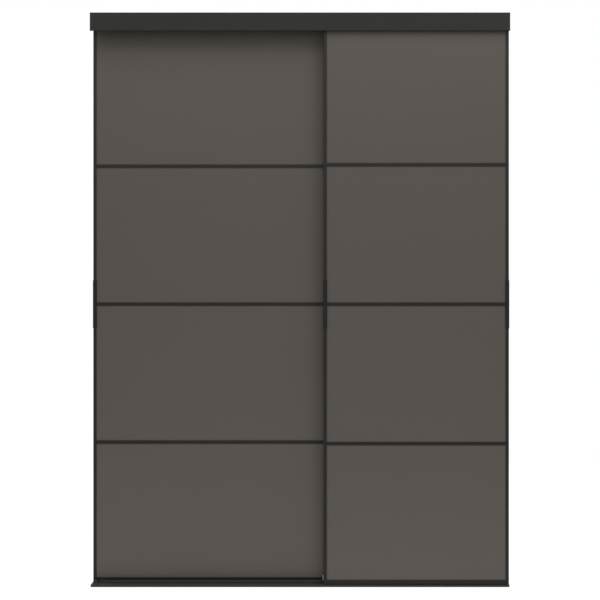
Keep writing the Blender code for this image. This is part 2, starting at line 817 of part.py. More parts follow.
def hanger(name, centre, parent):
    """An inverted T: a foot on the door's top member and a plate up to the axle."""
    x, y, z = centre
    foot_low = DOOR_TOP + GAP
    foot_high = foot_low + HANGER_FOOT_THICKNESS
    half = HANGER_FOOT_WIDTH / 2
    plate = HANGER_PLATE / 2
    top = z + HANGER_HEAD
    outline = [
        (y - half, foot_low),
        (y + half, foot_low),
        (y + half, foot_high),
        (y + plate, foot_high),
        (y + plate, top),
        (y - plate, top),
        (y - plate, foot_high),
        (y - half, foot_high),
    ]
    start, end = x - HANGER_LENGTH / 2, x + HANGER_LENGTH / 2
    obj = as_mesh(profile_along_x(name, [outline], start, end, "steel", parent))
    bore = AXLE_RADIUS + AXLE_CLEARANCE
    hole = cylinder_along_y(name + "_bore", centre, bore, 4 * HANGER_PLATE, WHEEL_STEPS, "steel")
    add_boolean(obj, hole, "DIFFERENCE")


def guide(name, edge, sign, front, proud, parent):
    """A plate behind the door's corner, with a fin below and a buffer round the stile's side."""
    plate_front = front + DOOR_THICKNESS + GAP
    plate_rear = plate_front + GUIDE_THICKNESS
    plate_top = GUIDE_TOP - BUFFER_ROOT
    root_bottom = BUFFER_BOTTOM + BUFFER_ROOT
    outline = [
        (-BUFFER_ROOT, root_bottom),
        (GUIDE_EDGE_INSET, root_bottom),
        (GUIDE_EDGE_INSET, GUIDE_FIN_BOTTOM + GUIDE_LEAD_IN),
        (GUIDE_EDGE_INSET + GUIDE_LEAD_IN, GUIDE_FIN_BOTTOM),
        (GUIDE_LENGTH - GUIDE_LEAD_IN, GUIDE_FIN_BOTTOM),
        (GUIDE_LENGTH, GUIDE_FIN_BOTTOM + GUIDE_LEAD_IN),
        (GUIDE_LENGTH, plate_top),
        (-BUFFER_ROOT, plate_top),
    ]
    outline = soften(outline, (6,), GUIDE_CORNER, 4)
    outline = [(edge + sign * u, z) for u, z in outline]
    ends = (plate_front, plate_rear)
    obj = as_mesh(profile_along_y(name, [outline], *ends, "guide_plastic", parent))
    outer, inner = sorted((edge - sign * proud, edge - sign * GAP))
    low = (outer, plate_rear - BUFFER_DEPTH, BUFFER_BOTTOM)
    high = (inner, plate_rear - GUIDE_THICKNESS / 4, GUIDE_TOP)
    buffer = box(name + "_buffer", low, high, "guide_plastic", edge=BUFFER_EDGE, segments=2)
    add_boolean(obj, buffer, "UNION")


def build_door(name, left, right, setback, outer_side):
    """One door with everything that moves with it, under an empty at its track's height."""
    front = FRONT_Y + setback
    track = front + DOOR_THICKNESS / 2
    axle_z = RAIL_UNDERSIDE + RAIL_WALL + GAP + WHEEL_RADIUS
    anchor = bpy.data.objects.new(name, None)
    PARTS.objects.link(anchor)
    anchor.location = ((left + right) / 2, track, axle_z)
    build_frame(name, left, right, front, anchor)
    build_panels(name, left, right, front, anchor)
    build_grips(name, left, right, front, anchor)
    for side, edge, sign in (("left", left, 1), ("right", right, -1)):
        centre = (edge + sign * HANGER_INSET, track, axle_z)
        hanger(f"{name}_hanger_{side}", centre, anchor)
        wheel_set(f"{name}_wheels_{side}", centre, anchor)
        proud = OUTER_BUFFER_PROUD if side == outer_side else INNER_BUFFER_PROUD
        guide(f"{name}_guide_{side}", edge, sign, front, proud, anchor)
    return track


def build():
    inner, rear, floor_top, top_low = build_carcass()
    build_interior(inner, rear, floor_top, top_low)
    half = CARCASS_WIDTH / 2
    rear_right = -half + REAR_DOOR_WIDTH
    front_left = half - FRONT_DOOR_WIDTH
    rear_track = build_door("rear_door", -half, rear_right, REAR_DOOR_SETBACK, "left")
    front_track = build_door("front_door", front_left, half, FRONT_DOOR_SETBACK, "right")
    rail_half = build_top_rail(front_track, rear_track)
    build_fascia(rail_half)
    build_end_caps(rail_half, (front_track, rear_track))
    fin_back = DOOR_THICKNESS + GAP + GUIDE_THICKNESS
    setbacks = (FRONT_DOOR_SETBACK, REAR_DOOR_SETBACK)
    ridge_front = build_bottom_rail([FRONT_Y + setback + fin_back for setback in setbacks])
    build_rail_clip(ridge_front)


build()
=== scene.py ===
"""Looks of the sliding door wardrobe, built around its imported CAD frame.

Metres, +Z up, in the CAD's own frame. Each CAD node gets a finely edged piece that stands for it,
and screws, brushes, pegs and nails are added where the real thing has them.
"""

import json
import math
import random

import bmesh
import bpy
from mathutils import Matrix, Vector


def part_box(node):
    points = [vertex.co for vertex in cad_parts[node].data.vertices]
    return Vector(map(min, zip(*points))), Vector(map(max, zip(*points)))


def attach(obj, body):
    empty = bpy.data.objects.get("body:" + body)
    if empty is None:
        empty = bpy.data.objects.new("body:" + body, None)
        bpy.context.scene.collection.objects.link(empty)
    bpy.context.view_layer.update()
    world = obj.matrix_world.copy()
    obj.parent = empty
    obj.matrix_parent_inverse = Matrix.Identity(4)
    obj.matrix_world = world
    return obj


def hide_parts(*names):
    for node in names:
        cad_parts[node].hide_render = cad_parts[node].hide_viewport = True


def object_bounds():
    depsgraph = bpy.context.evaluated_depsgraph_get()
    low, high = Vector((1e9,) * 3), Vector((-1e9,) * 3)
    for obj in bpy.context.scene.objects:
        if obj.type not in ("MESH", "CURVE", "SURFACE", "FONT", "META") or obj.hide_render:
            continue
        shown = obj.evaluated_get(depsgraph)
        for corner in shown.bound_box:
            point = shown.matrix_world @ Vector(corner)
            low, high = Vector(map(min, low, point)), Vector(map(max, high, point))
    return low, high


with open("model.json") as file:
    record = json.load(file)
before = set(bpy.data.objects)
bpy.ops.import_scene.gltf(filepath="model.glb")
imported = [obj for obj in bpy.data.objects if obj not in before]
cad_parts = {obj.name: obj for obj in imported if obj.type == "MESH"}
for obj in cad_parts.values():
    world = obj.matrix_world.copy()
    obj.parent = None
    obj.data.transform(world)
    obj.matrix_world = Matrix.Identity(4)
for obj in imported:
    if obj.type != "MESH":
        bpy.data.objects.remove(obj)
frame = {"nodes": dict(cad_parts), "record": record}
CAD_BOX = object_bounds()
NODES = frame["nodes"]
SCENE = bpy.context.scene
MM = 0.001
X, Y, Z = 0, 1, 2

BODY_OF = {
    node: body
    for body, members in frame["record"]["behaviour"]["bodies"].items()
    for node in members
}
SLOT_OF = {part["node"]: part["material_slot"] for part in frame["record"]["subparts"]}
DOORS = ("rear_door", "front_door")
CARCASS = "carcass"
# Each side's name, and which way along X the middle lies from it
SIDES = (("left", 1), ("right", -1))


# ---------------------------------------------------------------- materials


class Finish:
    """A material under construction, with short calls for the nodes it uses."""

    def __init__(self, name, metallic=0.0, **constants):
        self.material = bpy.data.materials.new(name)
        self.material.use_nodes = True
        self.tree = self.material.node_tree
        self.shader = self.tree.nodes["Principled BSDF"]
        self.shader.inputs["Metallic"].default_value = metallic
        for socket, value in constants.items():
            self.shader.inputs[socket.replace("_", " ")].default_value = value
        self.place = self.node("ShaderNodeTexCoord").outputs["Object"]
        self.bumped = None

    def node(self, kind, **settings):
        node = self.tree.nodes.new(kind)
        for name, value in settings.items():
            setattr(node, name, value)
        return node

    def feed(self, socket, value):
        """Link an output to a socket, or set the socket's own value."""
        if isinstance(value, bpy.types.NodeSocket):
            self.tree.links.new(value, socket)
        else:
            socket.default_value = value

    def stretched(self, stretch):
        if stretch is None:
            return self.place
        mapping = self.node("ShaderNodeMapping")
        self.feed(mapping.inputs["Vector"], self.place)
        mapping.inputs["Scale"].default_value = stretch
        return mapping.outputs["Vector"]

    def noise(self, size, detail=2.0, roughness=0.5, stretch=None):
        """Noise from 0 to 1 whose lumps are about `size` metres across."""
        node = self.node("ShaderNodeTexNoise")
        self.feed(node.inputs["Vector"], self.stretched(stretch))
        node.inputs["Scale"].default_value = 1.0 / size
        node.inputs["Detail"].default_value = detail
        node.inputs["Roughness"].default_value = roughness
        return node.outputs["Fac"]

    def cells(self, size, feature="F1", output="Distance"):
        """A pattern of cells about `size` metres across."""
        node = self.node("ShaderNodeTexVoronoi", feature=feature)
        self.feed(node.inputs["Vector"], self.place)
        node.inputs["Scale"].default_value = 1.0 / size
        return node.outputs[output]

    def range(self, value, low, high, start=0.0, end=1.0):
        """Map start..end of a value to low..high."""
        node = self.node("ShaderNodeMapRange", clamp=True)
        self.feed(node.inputs["Value"], value)
        node.inputs["From Min"].default_value = start
        node.inputs["From Max"].default_value = end
        node.inputs["To Min"].default_value = low
        node.inputs["To Max"].default_value = high
        return node.outputs["Result"]

    def math(self, operation, first, second):
        node = self.node("ShaderNodeMath", operation=operation)
        self.feed(node.inputs[0], first)
        self.feed(node.inputs[1], second)
        return node.outputs["Value"]

    def mix(self, factor, first, second):
        """A colour between two others."""
        node = self.node("ShaderNodeMix", data_type="RGBA")
        self.feed(node.inputs[0], factor)
        for socket, colour in ((node.inputs[6], first), (node.inputs[7], second)):
            self.feed(socket, (*colour, 1.0) if isinstance(colour, tuple) else colour)
        return node.outputs[2]

    def attribute(self, name):
        node = self.node("ShaderNodeAttribute", attribute_name=name)
        return node.outputs["Fac"]

    def facing_up(self):
        """How far a surface faces the ceiling, from 0 to 1."""
        split = self.node("ShaderNodeSeparateXYZ")
        self.feed(split.inputs[0], self.node("ShaderNodeNewGeometry").outputs["Normal"])
        return self.range(split.outputs["Z"], 0.0, 1.0, 0.6, 1.0)

    def bump(self, height, depth, strength=1.0):
        """Add relief of a depth in metres on top of any relief so far."""
        node = self.node("ShaderNodeBump")
        node.inputs["Strength"].default_value = strength
        node.inputs["Distance"].default_value = depth
        self.feed(node.inputs["Height"], height)
        if self.bumped is not None:
            self.feed(node.inputs["Normal"], self.bumped)
        self.bumped = node.outputs["Normal"]

    def done(self, colour, roughness):
        self.feed(self.shader.inputs["Base Color"], colour)
        self.feed(self.shader.inputs["Roughness"], roughness)
        if self.bumped is not None:
            self.feed(self.shader.inputs["Normal"], self.bumped)
        return self.material


def shade(colour, factor):
    return tuple(channel * factor for channel in colour)


def clouded(finish, colour, spread, size):
    """A colour that drifts a little lighter and darker in soft clouds."""
    clouds = finish.noise(size, detail=3.0)
    return finish.mix(clouds, shade(colour, 1 - spread), shade(colour, 1 + spread))


def with_worn_edges(finish, colour, worn, size, amount):
    """Show a rubbed colour in patches along the marked edges."""
    patches = finish.range(finish.noise(size, detail=4.0), 0.0, amount, 0.42, 0.70)
    mask = finish.math("MULTIPLY", finish.attribute("edge"), patches)
    return finish.mix(mask, colour, worn), mask


def with_dust(finish, colour, dust, amount):
    """Let a thin, uneven dust lie on what faces up."""
    patches = finish.range(finish.noise(0.05, detail=5.0), 0.2, 1.0, 0.35, 0.75)
    mask = finish.math("MULTIPLY", finish.facing_up(), patches)
    mask = finish.math("MULTIPLY", mask, amount)
    return finish.mix(mask, colour, dust), mask


# How far a coat goes to its painted shade over the height: darker at the floor, lighter at the top.
PAINTED_SHADE_WEIGHT = 0.8


def powder_coat(name, colour, roughness, specular=0.5, painted_height_shade=None):
    """Matt powder coat on metal: orange peel, a fine sandy grain, and edges rubbed a little.

    Faces marked as band are lighter: on the floor rail this is a painted highlight on its ridge and
    front land. The last argument, if given, holds two shares of the colour, for the floor and for
    the top of the object, and the coat goes the weight set above this function of the way to the
    tone between them: painted shade, darker at the floor and lighter at the top.
    """
    finish = Finish(name, metallic=0.0, Specular_IOR_Level=specular)
    base = clouded(finish, colour, 0.07, 0.11)
    # Painted shade: the coat is darker towards the floor and lighter towards the top, as if lit
    # from above.
    if painted_height_shade:
        split = finish.node("ShaderNodeSeparateXYZ")
        finish.feed(split.inputs[0], finish.place)
        height = finish.range(split.outputs["Z"], 0.0, 1.0, 0.0, CAD_BOX[1][Z])
        painted_shade_tones = [shade(colour, factor) for factor in painted_height_shade]
        base = finish.mix(PAINTED_SHADE_WEIGHT, base, finish.mix(height, *painted_shade_tones))
    # On the floor rail, the faces marked as band are painted lighter: a painted highlight on its
    # ridge and front land.
    base = finish.mix(finish.attribute("band"), base, shade(colour, 3.1))
    speckle = finish.range(finish.noise(0.7 * MM, detail=1.0), 0.0, 1.0, 0.35, 0.65)
    base = finish.mix(finish.math("MULTIPLY", speckle, 0.16), base, shade(colour, 1.9))
    base, worn = with_worn_edges(finish, base, shade(colour, 2.6), 4 * MM, 0.45)
    base, dusty = with_dust(finish, base, (0.20, 0.19, 0.175), 0.16)
    smudges = finish.range(finish.noise(0.028, detail=4.0), -0.05, 0.06)
    rough = finish.math("ADD", smudges, roughness)
    rough = finish.math("SUBTRACT", rough, finish.math("MULTIPLY", worn, 0.15))
    rough = finish.math("ADD", rough, finish.math("MULTIPLY", dusty, 0.8))
    finish.bump(finish.noise(1.7 * MM, detail=1.0), 0.05 * MM, 0.5)
    finish.bump(finish.noise(0.35 * MM, detail=2.0), 0.03 * MM, 0.6)
    return finish.done(base, rough)


def foil(name, colour, roughness):
    """A smooth matt foil on board: faint long clouds, a fine leathery grain and soft wipe marks."""
    finish = Finish(name, Specular_IOR_Level=0.35)
    base = clouded(finish, colour, 0.022, 0.35)
    grain = finish.noise(0.9 * MM, detail=3.0, roughness=0.6)
    fine = finish.range(grain, 0.0, 1.0, 0.3, 0.7)
    base = finish.mix(finish.math("MULTIPLY", fine, 0.09), base, shade(colour, 1.35))
    base, worn = with_worn_edges(finish, base, shade(colour, 1.5), 6 * MM, 0.35)
    wipes = finish.noise(0.09, detail=3.0, stretch=(0.5, 1.0, 1.6))
    rough = finish.range(wipes, roughness - 0.035, roughness + 0.045, 0.3, 0.7)
    rough = finish.math("ADD", rough, finish.math("MULTIPLY", fine, 0.03))
    finish.bump(finish.cells(1.1 * MM, "SMOOTH_F1"), 0.02 * MM, 0.35)
    finish.bump(grain, 0.02 * MM, 0.5)
    return finish.done(base, rough)


def melamine(name, colour, band, roughness):
    """Melamine faced board with a pearled press texture; marked faces are smooth edge band."""
    finish = Finish(name, Specular_IOR_Level=0.4)
    base = clouded(finish, colour, 0.035, 0.22)
    pearl = finish.cells(1.5 * MM, "SMOOTH_F1")
    flecks = finish.range(finish.noise(0.6 * MM, detail=2.0), 0.0, 0.14, 0.5, 0.8)
    base = finish.mix(flecks, base, shade(colour, 1.7))
    banded = finish.attribute("band")
    base = finish.mix(banded, base, band)
    base, worn = with_worn_edges(finish, base, shade(colour, 1.8), 7 * MM, 0.30)
    base, dusty = with_dust(finish, base, (0.22, 0.21, 0.19), 0.14)
    smudges = finish.range(finish.noise(0.06, detail=4.0), -0.05, 0.05)
    rough = finish.math("ADD", smudges, roughness)
    rough = finish.math("SUBTRACT", rough, finish.math("MULTIPLY", banded, 0.12))
    rough = finish.math("ADD", rough, finish.math("MULTIPLY", dusty, 0.6))
    finish.bump(pearl, 0.05 * MM, 0.35)
    finish.bump(finish.noise(0.4 * MM, detail=2.0), 0.03 * MM, 0.4)
    return finish.done(base, rough)


def hardboard(name, colour, raw, roughness):
    """Thin pressed fibre board: lacquered on the marked face, raw and stained elsewhere."""
    finish = Finish(name, Specular_IOR_Level=0.3)
    fibres = finish.noise(1.2 * MM, detail=4.0, roughness=0.7, stretch=(1.0, 1.0, 0.25))
    lacquer = clouded(finish, colour, 0.06, 0.30)
    lacquer = finish.mix(finish.range(fibres, 0.0, 0.30, 0.45, 0.75), lacquer, shade(colour, 1.5))
    pulp = clouded(finish, raw, 0.10, 0.22)
    strands = finish.noise(6 * MM, detail=6.0, roughness=0.75, stretch=(1.0, 1.0, 0.35))
    pulp = finish.mix(finish.range(strands, 0.0, 0.75, 0.50, 0.68), pulp, shade(raw, 0.62))
    pulp = finish.mix(finish.range(fibres, 0.0, 0.55, 0.50, 0.72), pulp, shade(raw, 1.45))
    stains = finish.noise(0.45, detail=5.0, roughness=0.65)
    pulp = finish.mix(finish.range(stains, 0.0, 0.40, 0.52, 0.72), pulp, shade(raw, 0.70))
    lacquered = finish.attribute("band")
    rough = finish.range(finish.noise(0.07, detail=4.0), roughness - 0.06, roughness + 0.06)
    rough = finish.math("SUBTRACT", rough, finish.math("MULTIPLY", lacquered, 0.14))
    finish.bump(fibres, 0.05 * MM, 0.6)
    return finish.done(finish.mix(lacquered, pulp, lacquer), rough)


def moulded(name, colour, roughness, grain=0.5 * MM, specular=0.45):
    """Injection moulded plastic with an etched grain and slightly polished edges."""
    finish = Finish(name, Specular_IOR_Level=specular)
    base = clouded(finish, colour, 0.05, 0.04)
    base, worn = with_worn_edges(finish, base, shade(colour, 1.9), 3 * MM, 0.5)
    base, dusty = with_dust(finish, base, (0.20, 0.19, 0.18), 0.12)
    smudges = finish.range(finish.noise(0.018, detail=3.0), -0.05, 0.06)
    rough = finish.math("ADD", smudges, roughness)
    rough = finish.math("SUBTRACT", rough, finish.math("MULTIPLY", worn, 0.2))
    rough = finish.math("ADD", rough, finish.math("MULTIPLY", dusty, 0.8))
    finish.bump(finish.cells(grain, "SMOOTH_F1"), 0.03 * MM, 0.5)
    finish.bump(finish.noise(0.5 * grain, detail=2.0), 0.02 * MM, 0.4)
    return finish.done(base, rough)


def zinc(name, colour, roughness):
    """Zinc plated steel: a faint spangle, drawn scratches and duller patches."""
    finish = Finish(name, metallic=1.0)
    spangle = finish.cells(2.5 * MM, output="Color")
    grey = finish.range(spangle, 0.0, 1.0, 0.2, 0.8)
    base = finish.mix(grey, shade(colour, 0.90), shade(colour, 1.06))
    scratches = finish.noise(0.5 * MM, detail=3.0, stretch=(1.0, 1.0, 0.1))
    tarnish = finish.range(finish.noise(0.012, detail=5.0), 0.0, 0.35, 0.5, 0.8)
    base = finish.mix(tarnish, base, shade(colour, 0.62))
    rough = finish.range(scratches, roughness - 0.08, roughness + 0.10, 0.3, 0.7)
    rough = finish.math("ADD", rough, finish.math("MULTIPLY", tarnish, 0.35))
    finish.bump(scratches, 0.01 * MM, 0.4)
    return finish.done(base, rough)


def pile(name, colour):
    """A dense strip of fine bristles, seen as streaks across the strip."""
    finish = Finish(name, Specular_IOR_Level=0.2, Sheen_Weight=0.4, Sheen_Roughness=0.5)
    streaks = finish.noise(0.5 * MM, detail=3.0, stretch=(0.15, 0.15, 1.0))
    tuft = finish.range(streaks, 0.0, 1.0, 0.3, 0.7)
    base = finish.mix(tuft, shade(colour, 0.5), shade(colour, 1.5))
    rough = finish.range(streaks, 0.75, 0.95)
    finish.bump(streaks, 0.25 * MM, 0.9)
    return finish.done(base, rough)


FRAME_COLOUR = (0.0214, 0.0209, 0.0192)
PANEL_COLOUR = (0.0973, 0.0839, 0.0735)
BOARD_COLOUR = (0.095, 0.085, 0.076)
LACQUER_COLOUR = (0.080, 0.074, 0.069)
RAW_FIBRE_COLOUR = (0.205, 0.135, 0.083)
RAIL_COLOUR = (0.0176, 0.0176, 0.0156)

FINISHES = {
    # The door frames get painted shade: 0.45 of their colour at the floor and 1.4 at the top.
    "door_frame": powder_coat("frame_powder_coat", FRAME_COLOUR, 0.44, 0.2, (0.45, 1.4)),
    "door_panel": foil("panel_foil", PANEL_COLOUR, 0.52),
    "rail_metal": powder_coat("rail_powder_coat", RAIL_COLOUR, 0.46, 0.3),
    "rail_cap": moulded("cap_plastic", shade(RAIL_COLOUR, 1.05), 0.50, specular=0.3),
    "grip": moulded("grip_plastic", (0.0125, 0.0125, 0.0125), 0.50, 0.4 * MM, 0.25),
    "carcass_board": melamine("board_melamine", BOARD_COLOUR, shade(BOARD_COLOUR, 0.92), 0.50),
    "back_board": hardboard("back_hardboard", LACQUER_COLOUR, RAW_FIBRE_COLOUR, 0.80),
    "steel": zinc("zinc_plate", (0.58, 0.58, 0.60), 0.34),
    "wheel_nylon": moulded("wheel_nylon", (0.62, 0.61, 0.57), 0.42, 0.3 * MM, 0.5),
    "guide_plastic": moulded("guide_plastic", (0.42, 0.42, 0.40), 0.46, 0.4 * MM),
}
STEEL = FINISHES["steel"]
CLIP_PLASTIC = moulded("clip_plastic", (0.045, 0.045, 0.043), 0.48, 0.4 * MM)
PILE = pile("brush_pile", (0.035, 0.034, 0.033))
BLACK_SCREW = powder_coat("black_screw", (0.022, 0.022, 0.023), 0.36, 0.5)
CAM_COVER = moulded("cam_cover_plastic", shade(BOARD_COLOUR, 0.8), 0.5, 0.4 * MM)


# ---------------------------------------------------------------- building blocks


WELD_DISTANCE = 1e-6
PLANE_TOLERANCE = 1e-5
POLE_RADIUS = 1e-7
FLAT_ANGLE = 0.5
STRAIGHT_ANGLE = 15.0


def new_shape():
    """An empty mesh under construction, with the face masks the materials read."""
    shape = bmesh.new()
    shape.faces.layers.float.new("edge")
    shape.faces.layers.float.new("band")
    return shape


def mark(shape, faces, layer, value=1.0):
    layer = shape.faces.layers.float[layer]
    for face in faces:
        face[layer] = value


def finish_piece(name, shape, material, body, slot, stands_for=(), sharp_angle=35.0):
    """Turn a shape into a smooth-shaded piece that rides on a body."""
    mesh = mesh_of(shape, name)
    mesh.materials.append(material)
    mesh.shade_smooth()
    mesh.set_sharp_from_angle(angle=math.radians(sharp_angle))
    obj = bpy.data.objects.new(name, mesh)
    SCENE.collection.objects.link(obj)
    weighted = obj.modifiers.new("even_faces", "WEIGHTED_NORMAL")
    weighted.keep_sharp = True
    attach(obj, body)
    if stands_for:
        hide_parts(*stands_for)
    return obj


def stand_in(node, shape, suffix, **options):
    """A piece in a CAD node's place, with that node's body and the finish of its slot."""
    slot = SLOT_OF[node]
    material = options.pop("material", FINISHES[slot])
    return finish_piece(
        f"{node}_{suffix}", shape, material, BODY_OF[node], slot, (node,), **options
    )


def round_edges(shape, edges, radius, segments):
    """Round some edges, and mark the rounding as edge."""
    rounded = bmesh.ops.bevel(
        shape,
        geom=edges,
        offset=radius,
        segments=segments,
        profile=0.5,
        affect="EDGES",
        clamp_overlap=True,
    )
    mark(shape, rounded["faces"], "edge")


def round_sharp_edges(shape, radius, segments, angle):
    """Round the edges where two faces meet at more than an angle in degrees."""
    limit = math.radians(angle)
    sharp = [e for e in shape.edges if e.is_manifold and e.calc_face_angle() > limit]
    round_edges(shape, sharp, radius, segments)


def add_rounded_box(shape, low, high, radius, segments=3):
    low, high = Vector(low), Vector(high)
    made = bmesh.ops.create_cube(shape, size=1.0)["verts"]
    bmesh.ops.scale(shape, vec=high - low, verts=made)
    bmesh.ops.translate(shape, vec=(low + high) / 2, verts=made)
    edges = list(dict.fromkeys(edge for vert in made for edge in vert.link_edges))
    round_edges(shape, edges, radius, segments)


def cleaned_copy(node):
    """A CAD node's mesh with its corners welded and its flat faces made whole."""
    shape = shape_of(NODES[node].data)
    bmesh.ops.remove_doubles(shape, verts=shape.verts, dist=WELD_DISTANCE)
    limit = math.radians(FLAT_ANGLE)
    bmesh.ops.dissolve_limit(shape, angle_limit=limit, verts=shape.verts, edges=shape.edges)
    return shape


def softened_copy(node, radius, segments=2):
    """A CAD node's mesh with its sharp edges rounded."""
    shape = cleaned_copy(node)
    round_sharp_edges(shape, radius, segments, 30.0)
    return shape


def section_of(node, axis):
    """The outline of an extruded CAD node as points in its other two axes, anticlockwise."""
    shape = cleaned_copy(node)
    low = min(vert.co[axis] for vert in shape.verts)
    ends = [
        face
        for face in shape.faces
        if all(abs(vert.co[axis] - low) < PLANE_TOLERANCE for vert in face.verts)
    ]
    end = max(ends, key=lambda face: face.calc_area())
    u, v = (axis + 1) % 3, (axis + 2) % 3
    outline = [Vector((vert.co[u], vert.co[v])) for vert in end.verts]
    shape.free()
    if area_of(outline) < 0:
        outline.reverse()
    return outline


def area_of(outline):
    """An outline's area, positive when it runs anticlockwise."""
    pairs = zip(outline, outline[1:] + outline[:1])
    return sum(a.x * b.y - b.x * a.y for a, b in pairs) / 2


def filleted(outline, radius, steps=3):
    """Round an outline's corners. Returns (point, starts_a_rounding) pairs."""
    result = []
    for index, corner in enumerate(outline):
        before = outline[index - 1] - corner
        after = outline[(index + 1) % len(outline)] - corner
        turn = math.pi - before.angle(after)
        if turn < math.radians(STRAIGHT_ANGLE):
            result.append((corner, False))
            continue
        reach = radius * math.tan(turn / 2)
        reach = min(reach, 0.45 * before.length, 0.45 * after.length)
        start = corner + before.normalized() * reach
        end = corner + after.normalized() * reach
        for step in range(steps + 1):
            t = step / steps
            point = start * (1 - t) ** 2 + corner * 2 * t * (1 - t) + end * t**2
            result.append((point, step < steps))
    return result


def add_extrusion(shape, outline, axis, low, high):
    """Add a section of (point, starts_a_rounding) pairs drawn out along an axis."""
    u, v = (axis + 1) % 3, (axis + 2) % 3
    rings = []
    for end in (low, high):
        ring = []
        for point, _ in outline:
            place = [0.0, 0.0, 0.0]
            place[axis], place[u], place[v] = end, point.x, point.y
            ring.append(shape.verts.new(place))
        rings.append(ring)
    first, second = rings
    rounded = []
    for index, (_, is_round) in enumerate(outline):
        after = (index + 1) % len(outline)
        face = shape.faces.new((first[index], first[after], second[after], second[index]))
        if is_round:
            rounded.append(face)
    shape.faces.new(first[::-1])
    shape.faces.new(second)
    mark(shape, rounded, "edge")


def extruded_piece(node, axis, radius, suffix="profile", material=None):
    """Stand for an extruded CAD node with the same section, its corners rounded."""
    low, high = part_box(node)
    shape = new_shape()
    add_extrusion(shape, filleted(section_of(node, axis), radius), axis, low[axis], high[axis])
    return stand_in(node, shape, suffix, material=material or FINISHES[SLOT_OF[node]])


def turned(shape, section, centre, axis, steps=32, ring_shaped=False):
    """Add a closed turned form.

    `section` is (along the axis, radius), from one pole to the other, or all round a ring.
    """
    centre, axis = Vector(centre), Vector(axis).normalized()
    side = axis.orthogonal().normalized()
    other = axis.cross(side)
    rings = []
    for along, radius in section:
        base = centre + axis * along
        if radius < POLE_RADIUS:
            rings.append([shape.verts.new(base)])
            continue
        ring = []
        for step in range(steps):
            angle = 2 * math.pi * step / steps
            offset = side * math.cos(angle) + other * math.sin(angle)
            ring.append(shape.verts.new(base + offset * radius))
        rings.append(ring)
    pairs = list(zip(rings, rings[1:]))
    if ring_shaped:
        pairs.append((rings[-1], rings[0]))
    for first, second in pairs:
        for step in range(steps):
            after = (step + 1) % steps
            if len(first) == 1:
                corners = (first[0], second[step], second[after])
            elif len(second) == 1:
                corners = (first[step], second[0], first[after])
            else:
                corners = (first[step], second[step], second[after], first[after])
            shape.faces.new(corners)


# ---------------------------------------------------------------- screws


def cross_recess_head(radius, height, recess=True):
    """A pan head that faces +Z, with its underside at z = 0, and a cross cut into it."""
    shape = new_shape()
    section = [(0.0, 0.0), (0.0, radius * 0.97), (height * 0.12, radius)]
    for step in range(1, 6):
        angle = math.pi / 2 * step / 5
        along = height * (0.12 + 0.88 * math.sin(angle))
        section.append((along, radius * math.cos(angle) ** 0.55 if step < 5 else 0.0))
    turned(shape, section, (0, 0, 0), (0, 0, 1), 24)
    mesh = mesh_of(shape, "head")
    if not recess:
        return mesh
    cutter_shape = new_shape()
    arm, width, depth = radius * 0.56, radius * 0.17, height * 0.75
    outline = [
        (arm, -width), (arm, width), (width, width), (width, arm), (-width, arm),
        (-width, width), (-arm, width), (-arm, -width), (-width, -width),
        (-width, -arm), (width, -arm), (width, -width),
    ]
    low = [cutter_shape.verts.new((x * 0.5, y * 0.5, height - depth)) for x, y in outline]
    high = [cutter_shape.verts.new((x * 1.15, y * 1.15, height * 1.3)) for x, y in outline]
    for index in range(len(outline)):
        after = (index + 1) % len(outline)
        cutter_shape.faces.new((low[index], low[after], high[after], high[index]))
    cutter_shape.faces.new(low[::-1])
    cutter_shape.faces.new(high)
    return combined(mesh, mesh_of(cutter_shape, "cross"))


def combined(mesh, other_mesh, operation="DIFFERENCE"):
    """A mesh with another one cut out of it or joined to it."""
    obj = bpy.data.objects.new("combined", mesh)
    other = bpy.data.objects.new("other", other_mesh)
    for item in (obj, other):
        SCENE.collection.objects.link(item)
    modifier = obj.modifiers.new("combine", "BOOLEAN")
    modifier.operation = operation
    modifier.solver = "EXACT"
    modifier.object = other
    depsgraph = bpy.context.evaluated_depsgraph_get()
    result = bpy.data.meshes.new_from_object(
        obj.evaluated_get(depsgraph), preserve_all_data_layers=True, depsgraph=depsgraph
    )
    for item in (obj, other):
        bpy.data.objects.remove(item, do_unlink=True)
    return result


def mesh_of(shape, name="part"):
    """Close a shape under construction and return its mesh."""
    mesh = bpy.data.meshes.new(name)
    bmesh.ops.recalc_face_normals(shape, faces=shape.faces)
    shape.to_mesh(mesh)
    shape.free()
    return mesh


def shape_of(mesh):
    shape = new_shape()
    shape.from_mesh(mesh)
    return shape


def add_copies(shape, mesh, places, direction, spin):
    """Add a mesh that faces +Z at each place, turned to face `direction`, each at its own spin."""
    turn = Vector(direction).to_track_quat("Z", "Y").to_matrix().to_4x4()
    for place in places:
        start = len(shape.verts)
        shape.from_mesh(mesh)
        shape.verts.ensure_lookup_table()
        angle = spin.uniform(0, 2 * math.pi)
        matrix = Matrix.Translation(place) @ turn @ Matrix.Rotation(angle, 4, "Z")
        bmesh.ops.transform(shape, matrix=matrix, verts=shape.verts[start:])


PAN_HEAD = cross_recess_head(3.6 * MM, 2.0 * MM)
SMALL_HEAD = cross_recess_head(2.8 * MM, 1.3 * MM)
FLAT_HEAD = cross_recess_head(3.8 * MM, 0.5 * MM)
NAIL_HEAD = cross_recess_head(1.6 * MM, 0.6 * MM, recess=False)
SPIN = random.Random(7)


def screws(name, mesh, places, direction, body, slot, material):
    shape = new_shape()
    add_copies(shape, mesh, places, direction, SPIN)
    return finish_piece(name, shape, material, body, slot, sharp_angle=40.0)


# ---------------------------------------------------------------- doors


FRAME_RADIUS = 0.45 * MM
GRIP_RADIUS = 0.5 * MM
PANEL_RADIUS = 0.35 * MM


